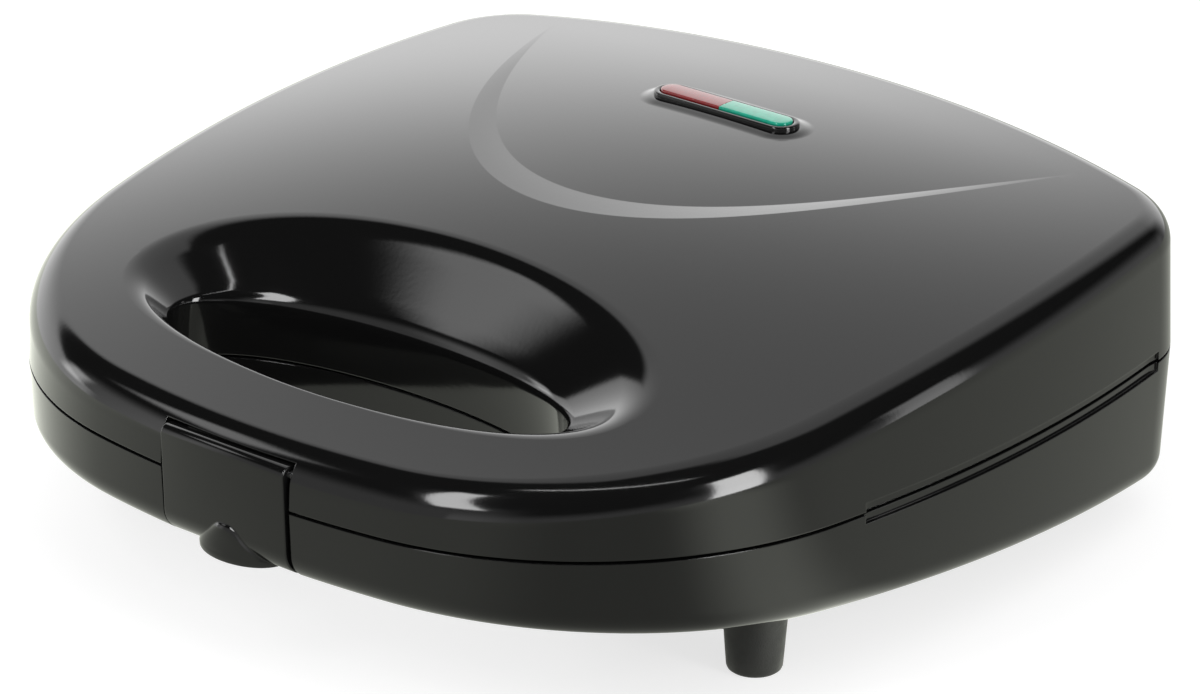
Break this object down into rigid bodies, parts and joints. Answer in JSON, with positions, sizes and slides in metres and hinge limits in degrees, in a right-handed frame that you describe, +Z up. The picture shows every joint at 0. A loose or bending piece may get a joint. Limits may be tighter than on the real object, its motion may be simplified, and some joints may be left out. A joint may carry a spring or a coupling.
{
  "type": "donut maker",
  "caption": "Black countertop donut maker with hinged lid, ring-cavity plates, front latch, handle opening and two pilot lights",
  "frame": {"origin": "centre of the footprint on the table; +X to the appliance's own right as seen from the latch, +Y to the hinge at the back, +Z up", "axes": "+X across the front, +Y from the latch to the hinge, +Z up from the table"},
  "size_m": [0.2298, 0.2416, 0.0823],
  "materials": {
    "housing": "glossy",
    "frame": "matte",
    "nonstick_plate": "matte",
    "heater_tube": "satin",
    "zinc_sheet": "satin",
    "bright_sheet": "satin",
    "screw_steel": "satin",
    "spring_steel": "satin",
    "steatite": "matte",
    "terminal_plastic": "matte",
    "red_lens": "glossy",
    "green_lens": "glossy",
    "board": "matte",
    "neon_glass": "glossy",
    "rubber_foot": "matte"
  },
  "bodies": {
    "base": {"lower_casing": "housing", "lower_frame": "frame", "lower_plate": "nonstick_plate", "lower_heater": "heater_tube", "lower_clamps": "zinc_sheet", "lower_shield": "bright_sheet", "lower_clamp_screws": "screw_steel", "lower_plate_screws": "screw_steel", "base_screws": "screw_steel", "thermostat": "steatite", "terminal_block": "terminal_plastic", "hinge_pins": "screw_steel", "front_feet": "rubber_foot", "rear_feet": "rubber_foot"},
    "lid": {"upper_casing": "housing", "upper_frame": "frame", "upper_plate": "nonstick_plate", "upper_heater": "heater_tube", "upper_clamps": "zinc_sheet", "upper_shield": "bright_sheet", "upper_clamp_screws": "screw_steel", "upper_plate_screws": "screw_steel", "upper_frame_screws": "screw_steel", "thermal_fuse": "zinc_sheet", "indicator_bezel": "housing", "red_lens": "red_lens", "green_lens": "green_lens", "lamp_board": "board", "neon_lamps": "neon_glass", "latch_pin": "screw_steel", "latch_spring": "spring_steel"},
    "latch": {"latch": "housing"}
  },
  "joints": [
    {"name": "lid_hinge", "type": "hinge", "parent": "base", "child": "lid", "pos_m": [0, 0.11625, 0.0405], "axis": [-1, 0, 0], "range_deg": [0, 105]},
    {"name": "latch_pivot", "type": "hinge", "parent": "lid", "child": "latch", "pos_m": [0, -0.11055, 0.0484], "axis": [-1, 0, 0], "range_deg": [0, 30], "stiffness_Nm_per_rad": 0.01}
  ]
}
